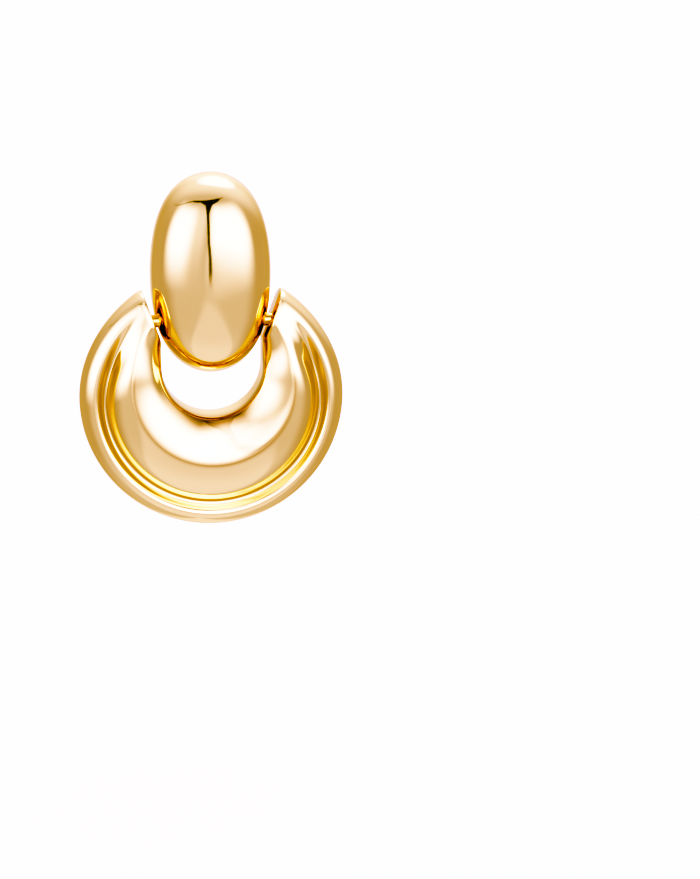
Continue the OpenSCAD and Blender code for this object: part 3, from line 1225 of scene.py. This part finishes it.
@dataclass(frozen=True)
class LensGap:
    """Dark gap between the softboxes: a leaning stem that flares under a bar, in degrees.

    Args:
        foot: Side angle of the stem on the horizon.
        lean: How far the stem leans left for each degree of height.
        lean_to: Height above which it no longer leans.
        bend: How much more it bends right for each degree below the horizon.
        half: Half width of the stem on the horizon.
        widen: What each degree of height adds to that.
        neck: What the neck of the stem adds, and the heights over which it does.
        flare: What the flare under the bar adds, and the heights over which it does.
        stem_foot: Heights over which the foot of the stem fades in.
        stem_head: Heights above the bar's middle over which the stem fades out.
        bar_up: Height of the bar's middle.
        tilt: How far the bar rises for each degree to the right.
        fall: How far the ends of the bar fall, and the side angles over which they do.
        bar_half: Half width of the bar where it is thin.
        core: What its middle adds, and the side angles over which it does on the left.
        core_right: Side angles over which that ends on the right.
        bar_left: Side angles over which the left end of the bar fades in.
        bar_right: Side angles over which the right end of the bar fades out.
        soft: Softness of every edge.
        glow: Brightness that is left in the gap.
    """

    foot: float = 3.4
    lean: float = 0.19
    lean_to: float = 30.0
    bend: float = 0.22
    half: float = 1.35
    widen: float = 0.03
    neck: Ramp = Ramp(7.0, 26, 54)
    flare: Ramp = Ramp(26.0, 44, 58)
    stem_foot: Point2 = (-12.5, -9.5)
    stem_head: Point2 = (0, 2)
    bar_up: float = 56.0
    tilt: float = 0.07
    fall: Ramp = Ramp(24.0, 50, 130)
    bar_half: float = 0.8
    core: Ramp = Ramp(1.4, -70, -36)
    core_right: Point2 = (24, 44)
    bar_left: Point2 = (-130, -62)
    bar_right: Point2 = (30, 62)
    soft: float = 0.45
    glow: float = 0.045

    def share(self, side: Sock, up: Sock) -> Sock:
        """How much of a direction lies in the gap, from 0 to 1.

        Args:
            side: Side angle.
            up: Height angle.

        Returns:
            The share.
        """
        line = self.bar_up + side * self.tilt - side.absolute().ramp(self.fall)
        middle = self.foot - up.at_most(self.lean_to) * self.lean + (-up).at_least(0.0) * self.bend
        half = self.half + up * self.widen + up.ramp(self.neck) + up.ramp(self.flare)
        stem = 1 - ((side - middle).absolute() - half).rise(-self.soft, self.soft)
        stem = stem * up.rise(*self.stem_foot) * (1 - (up - line).rise(*self.stem_head))
        core = side.ramp(self.core) * (1 - side.rise(*self.core_right))
        bar = 1 - ((up - line).absolute() - self.bar_half - core).rise(-self.soft, self.soft)
        bar = bar * side.rise(*self.bar_left) * (1 - side.rise(*self.bar_right))
        return stem.at_least(bar)


@dataclass(frozen=True)
class Room:
    """Pale room round the object. A ramp is a brightness and the angles over which it is added.

    Args:
        base: Brightness all round.
        above: Added with height.
        below: Added with depth below the horizon.
        front: Added in front, and the side angles over which it ends.
        front_up: Heights over which it ends.
        flank: Added at the sides.
        behind: Added at the pale wall behind.
        behind_up: Heights over which the wall ends.
    """

    base: float = 0.61
    above: Ramp = Ramp(0.14, 0, 45)
    below: Ramp = Ramp(0.15, 30, 64)
    front: Ramp = Ramp(0.17, 50, 92)
    front_up: Point2 = (28, 55)
    flank: Ramp = Ramp(0.02, 96, 130)
    behind: Ramp = Ramp(0.45, 150, 170)
    behind_up: Point2 = (20, 60)

    def glow(self, side: Sock, up: Sock) -> Sock:
        """Brightness of the room in a direction.

        Args:
            side: Side angle.
            up: Height angle.

        Returns:
            The brightness.
        """
        off = side.absolute()
        ahead = 1 - off.rise(self.front.start, self.front.end)
        front = ahead * (1 - up.rise(*self.front_up)) * self.front.amount
        behind = off.ramp(self.behind) * (1 - up.rise(*self.behind_up)) + off.ramp(self.flank)
        return self.base + up.ramp(self.above) + (-up).ramp(self.below) + front + behind


@dataclass(frozen=True)
class Wedge:
    """Pale table in front, which widens downwards from below the lens, in degrees.

    Args:
        side: Side angle of its middle.
        top: Height at which it starts.
        fade: Depths below its top over which it fades in.
        half: Half width at its top, and what each degree down adds.
        soft: Softness of its sides.
        power: Brightness that it adds.
    """

    side: float = 6.0
    top: float = -14.0
    fade: Point2 = (-2, 3)
    half: Point2 = (2.0, 1.35)
    soft: float = 5.0
    power: float = 0.19

    def glow(self, side: Sock, up: Sock) -> Sock:
        """Brightness that the table adds in a direction.

        Args:
            side: Side angle.
            up: Height angle.

        Returns:
            The brightness.
        """
        below = self.top - up
        half = below.at_least(0.0) * self.half[1] + self.half[0]
        beside = ((side - self.side).absolute() - half).rise(-self.soft, self.soft)
        return below.rise(*self.fade) * (1 - beside) * self.power


@dataclass(frozen=True)
class Diffuser:
    """Round diffuser above and behind the object, in degrees.

    Args:
        side: Side angle of its middle.
        up: Height of its middle.
        rings: For each ring its brightness and how far from the middle it starts and is full.
    """

    side: float = 168.0
    up: float = 53.0
    rings: tuple[Ramp, Ramp] = (Ramp(0.6, 62, 16), Ramp(1.9, 27, 12))

    def glow(self, x: Sock, y: Sock, z: Sock) -> Sock:
        """Brightness that the diffuser adds in a direction.

        Args:
            x: Share of the direction to the right.
            y: Share to the back.
            z: Share upwards.

        Returns:
            The brightness.
        """
        turn, rise = math.radians(self.side), math.radians(self.up)
        flat = x * (math.sin(turn) * math.cos(rise)) - y * (math.cos(turn) * math.cos(rise))
        facing = flat + z * math.sin(rise)
        wide, core = (
            facing.ramp(Ramp(power, math.cos(math.radians(start)), math.cos(math.radians(full))))
            for power, start, full in self.rings
        )
        return wide + core


@dataclass(frozen=True)
class Panel:
    """Soft round light that shines on the drop alone, as seen from the object.

    Args:
        side: Side angle of its middle from the camera's azimuth, in degrees.
        up: Height angle of its middle, in degrees.
        power: Brightness that it adds at its middle.
        reach: Degrees from its middle to where it has faded out.
        distance: Distance from the object, in metres.
        margin: Width of its sheet against what its reach takes in at that distance.
    """

    side: float
    up: float
    power: float
    reach: float = 20.0
    distance: float = 1.0
    margin: float = 1.1


@dataclass(frozen=True)
class Tone:
    """Film-like tone of the picture: shown value for each brightness, one curve a colour.

    Args:
        red: Brightness and shown value, in order.
        green: The same for green.
        blue: The same for blue, which dies first in the shade and deepens the gold.
        white: Brightness that is shown as white.
    """

    red: tuple[Point2, ...] = (
        (0.0, 0.0), (0.1, 0.012), (0.2, 0.06), (0.3, 0.18), (0.45, 0.37), (0.6, 0.55), (0.8, 0.745),
        (1.0, 0.87), (1.3, 0.95), (1.8, 0.985), (3.0, 1.0),
    )
    green: tuple[Point2, ...] = (
        (0.0, 0.0), (0.1, 0.012), (0.2, 0.06), (0.27, 0.12), (0.35, 0.19), (0.42, 0.245), (0.49, 0.305),
        (0.55, 0.376), (0.63, 0.483), (0.77, 0.61), (1.0, 0.76), (1.4, 0.9), (1.9, 0.965), (3.0, 1.0),
    )
    blue: tuple[Point2, ...] = (
        (0.0, 0.0), (0.2, 0.001), (0.25, 0.006), (0.3, 0.04), (0.345, 0.11), (0.395, 0.21), (0.48, 0.345),
        (0.6, 0.5), (0.885, 0.78), (1.3, 0.93), (2.0, 0.985), (3.0, 1.0),
    )
    white: float = 3.0

    def apply(self, view: bpy.types.ColorManagedViewSettings) -> None:
        """Sets the curves on the scene's view.

        Args:
            view: View settings of the scene.
        """
        view.view_transform = "Standard"
        view.use_curve_mapping = True
        mapping = view.curve_mapping
        mapping.white_level = (self.white, self.white, self.white)
        for curve, tones in zip(mapping.curves, (self.red, self.green, self.blue)):
            while len(curve.points) < len(tones):
                curve.points.new(0.5, 0.5)
            for point, (light, shown) in zip(curve.points, tones):
                point.location = (light / self.white, shown)
        mapping.update()


@dataclass
class Studio:
    """Camera, soft light, pale backdrop and pale floor.

    Args:
        azimuth: Side angle of the camera, less than 0 being to the left.
        elevation: Height angle of the camera.
        lens: Focal length of the camera.
        sensor: Width of its sensor.
        clip: Nearest and furthest distance that it shows, in metres.
        pixel_mm: Size at the object of one pixel of the picture.
        image: Width and height of the picture, in pixels.
        aim: Point that the camera is set by.
        aim_pixel: Where that point falls in the picture.
        floor_z: Height of the floor.
        floor_half: Half width of the floor, and height of the wall.
        wall_y: How far the wall stands behind the object.
        wall_turn: Radius in which the floor turns up into the wall.
        wall_steps: Strips of faces over that turn.
        floor_glow: Brightness of the floor and the wall.
        tent_r: Radius of the tent.
        tent_rings: Steps from its foot to its top.
        tent_sides: Points round it.
        tent_glow: Brightness of the tent.
        paper_crease: Edges of a stage sheet that turn by more than this stay sharp, in degrees.
        paper_tones: Darkest and palest tone of the paper.
        paper_grain: Grains of the paper for each metre.
        paper_detail: Octaves of the grain.
        left: Softbox to the left.
        right: Softbox to the right.
        gap: Dark gap between the softboxes.
        room: Pale room round them.
        table: Pale table in front.
        overhead: Diffuser above and behind.
        panels: Round lights for the drop alone.
        tone: Tone of the picture.
    """

    azimuth: float = -5.0
    elevation: float = 12.0
    lens: float = 200.0
    sensor: float = 36.0
    clip: Point2 = (0.01, 20.0)
    pixel_mm: float = 0.1195
    image: Point2 = (700.0, 879.0)
    aim: Point3 = (0.0, 0.0, -10.9)
    aim_pixel: Point2 = (209.4, 329.8)
    floor_z: float = -60.0
    floor_half: float = 1500.0
    wall_y: float = 800.0
    wall_turn: float = 300.0
    wall_steps: int = 12
    floor_glow: float = 0.9
    tent_r: float = 1250.0
    tent_rings: int = 24
    tent_sides: int = 48
    tent_glow: float = 3.0
    paper_crease: float = 80.0
    paper_tones: tuple[Rgb, Rgb] = ((0.93, 0.93, 0.93), (0.95, 0.95, 0.95))
    paper_grain: float = 900.0
    paper_detail: float = 3.0
    left: SoftBox = SoftBox(
        hand=-1.0, power=(0.38, 2.6),
        veil=(-2, 10), core=(14, 48), far=(66, 104), foot=(-16, 9), head=(18, 50),
    )
    right: SoftBox = SoftBox(
        hand=1.0, power=(0.35, 3.1),
        veil=(0, 5), core=(1, 14), far=(46, 88), foot=(-16, 10), head=(10, 54),
    )
    gap: LensGap = LensGap()
    room: Room = Room()
    table: Wedge = Wedge()
    overhead: Diffuser = Diffuser()
    panels: tuple[Panel, ...] = (
        Panel(2.5, -3.0, 1.5, 13.0),
        Panel(1.0, 10.0, 1.7),
        Panel(0.0, 27.0, 2.1, 22.0),
        Panel(-2.0, 47.0, 2.1, 24.0),
    )
    tone: Tone = Tone()

    def build_camera(self) -> None:
        """Places the camera so that the object falls where the photograph has it."""
        long_side = max(self.image)
        focus = self.lens / self.sensor * long_side
        data = bpy.data.cameras.new("camera")
        data.lens, data.sensor_width = self.lens, self.sensor
        data.clip_start, data.clip_end = self.clip
        camera = bpy.data.objects.new("camera", data)
        bpy.context.scene.collection.objects.link(camera)
        back = self._way(0.0, self.elevation)
        camera.location = Vector(self.aim) * MM + back * (focus * self.pixel_mm * MM)
        straight = (-back).to_track_quat("-Z", "Y")
        shown = Vector(
            (self.aim_pixel[0] - self.image[0] / 2, self.image[1] / 2 - self.aim_pixel[1], -focus)
        ).normalized()
        camera.rotation_mode = "QUATERNION"
        camera.rotation_quaternion = straight @ shown.rotation_difference(Vector((0, 0, -1)))
        bpy.context.scene.camera = camera

    def _way(self, side: float, up: float) -> Vector:
        """Direction at a side angle from the camera's azimuth and a height angle."""
        a, e = math.radians(self.azimuth + side), math.radians(up)
        return Vector((math.sin(a) * math.cos(e), -math.cos(a) * math.cos(e), math.sin(e)))

    def build_world(self) -> None:
        """Builds the light round the object: two softboxes, a pale room and the dark gap at the lens."""
        world = bpy.data.worlds.new("studio")
        bpy.context.scene.world = world
        world.use_nodes = True
        graph = Graph(world.node_tree)
        way = graph.node("ShaderNodeTexCoord", {}, {}, "Generated")
        turn = {"Vector": way, "Angle": math.radians(-self.azimuth)}
        turned_way = graph.node("ShaderNodeVectorRotate", {"rotation_type": "Z_AXIS"}, turn)
        x, y, z = (graph.node("ShaderNodeSeparateXYZ", {}, {"Vector": turned_way}, k) for k in range(3))
        deg = 180 / math.pi
        side = graph.node("ShaderNodeMath", {"operation": "ARCTAN2"}, {0: x, 1: -y}) * deg
        up = graph.node("ShaderNodeMath", {"operation": "ARCSINE"}, {0: z}) * deg
        light = self.room.glow(side, up) + self.table.glow(side, up)
        light = light + self.left.glow(side, up) + self.right.glow(side, up) + self.overhead.glow(x, y, z)
        dark = self.gap.share(side, up)
        light = light * (1 - dark) + dark * self.gap.glow
        shade = graph.node("ShaderNodeBackground", {}, {"Color": (1.0, 1.0, 1.0, 1.0), "Strength": light})
        graph.node("ShaderNodeOutputWorld", {}, {"Surface": shade})

    def build_panel(self, panel: Panel, lit: bpy.types.Collection) -> None:
        """Builds a soft flat light that shines on some pieces alone.

        Args:
            panel: Its place, size and brightness.
            lit: The pieces that it lights.
        """
        half = math.radians(panel.reach)
        size = 2 * panel.margin * panel.distance * math.tan(half)
        data = bpy.data.lights.new("soft_panel", "AREA")
        data.shape, data.size, data.spread = "SQUARE", size, 2 * half
        # A narrow spread gathers the light in the middle, which the last factor takes back.
        data.energy = panel.power * math.pi * size * size * (1 - half / math.tan(half))
        obj = bpy.data.objects.new("soft_panel", data)
        bpy.context.scene.collection.objects.link(obj)
        out = self._way(panel.side, panel.up)
        obj.location = Vector(self.aim) * MM + out * panel.distance
        obj.rotation_mode = "QUATERNION"
        obj.rotation_quaternion = out.to_track_quat("Z", "Y")
        obj.visible_camera = False
        obj.light_linking.receiver_collection = lit

    def build_sweep(self) -> None:
        """Builds the pale floor and the pale wall far behind, as one curved sheet."""
        skin, far, r = Skin(), self.floor_half, self.wall_turn
        profile: list[Point2] = [(-far, self.floor_z)]
        for i in range(self.wall_steps + 1):
            t = quarter(i, self.wall_steps)
            profile.append((self.wall_y - r * (1 - math.sin(t)), self.floor_z + r * (1 - math.cos(t))))
        profile.append((self.wall_y, far))
        skin.loft([skin.row(((x, y, z) for x in (-far, far))) for y, z in profile])
        self._paper(skin.make("pale_floor", self.paper_crease), self.floor_glow)

    def build_tent(self) -> None:
        """Builds the pale tent that closes the room to the camera, but not to the metal."""
        skin = Skin()
        radius, rings, sides = self.tent_r, self.tent_rings, self.tent_sides
        rows: list[list[int]] = []
        for i in range(1, rings):
            lift, wide = -radius * math.cos(math.pi * i / rings), radius * math.sin(math.pi * i / rings)
            turns = (math.tau * k / sides for k in range(sides))
            rows.append(skin.row((wide * math.cos(t), wide * math.sin(t), lift) for t in turns))
        skin.loft(rows, closed=True, capped=True)
        self._paper(skin.make("pale_tent", self.paper_crease), self.tent_glow)

    def _paper(self, sheet: bpy.types.Object, glow: float) -> None:
        """Dresses a stage sheet in evenly lit pale paper that the metal doesn't mirror.

        Args:
            sheet: The sheet.
            glow: Brightness of its even light.
        """
        mat = bpy.data.materials.new("pale_paper")
        mat.use_nodes = True
        graph = Graph(mat.node_tree)
        place = graph.node("ShaderNodeTexCoord", {}, {}, "Object")
        specks = {"Vector": place, "Scale": self.paper_grain, "Detail": self.paper_detail}
        grain = graph.node("ShaderNodeTexNoise", {}, specks)
        tone = graph.blend(grain, *self.paper_tones)
        inputs: dict[str | int, object] = {"Base Color": tone, "Roughness": 0.9}
        inputs |= {"Emission Color": (1.0, 1.0, 1.0, 1.0), "Emission Strength": glow}
        paper = graph.node("ShaderNodeBsdfPrincipled", {}, inputs)
        graph.node("ShaderNodeOutputMaterial", {}, {"Surface": paper})
        sheet.data.materials.append(mat)
        sheet.visible_glossy = False
        sheet.visible_diffuse = False
        sheet.visible_shadow = False

    def build(self, drop_pieces: Sequence[bpy.types.Object]) -> None:
        """Builds camera, world, lights, backdrop and tone.

        Args:
            drop_pieces: Pieces that the round panels light.
        """
        self.build_camera()
        self.build_world()
        lit = bpy.data.collections.new("lit_by_panels")
        for piece in drop_pieces:
            lit.objects.link(piece)
        for panel in self.panels:
            self.build_panel(panel, lit)
        self.build_sweep()
        self.build_tent()
        self.tone.apply(bpy.context.scene.view_settings)


def main() -> None:
    """Builds the earring and the studio in order."""
    logging.basicConfig(level=logging.INFO, format="%(name)s: %(message)s")
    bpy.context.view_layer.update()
    stud = Stud()
    drop = Drop(stud)
    stud.dress(drop.face_x + drop.rod_past, (drop.hinge_depth, drop.hinge_z))
    Studio().build(drop.dress())


if __name__ == "__main__":
    main()
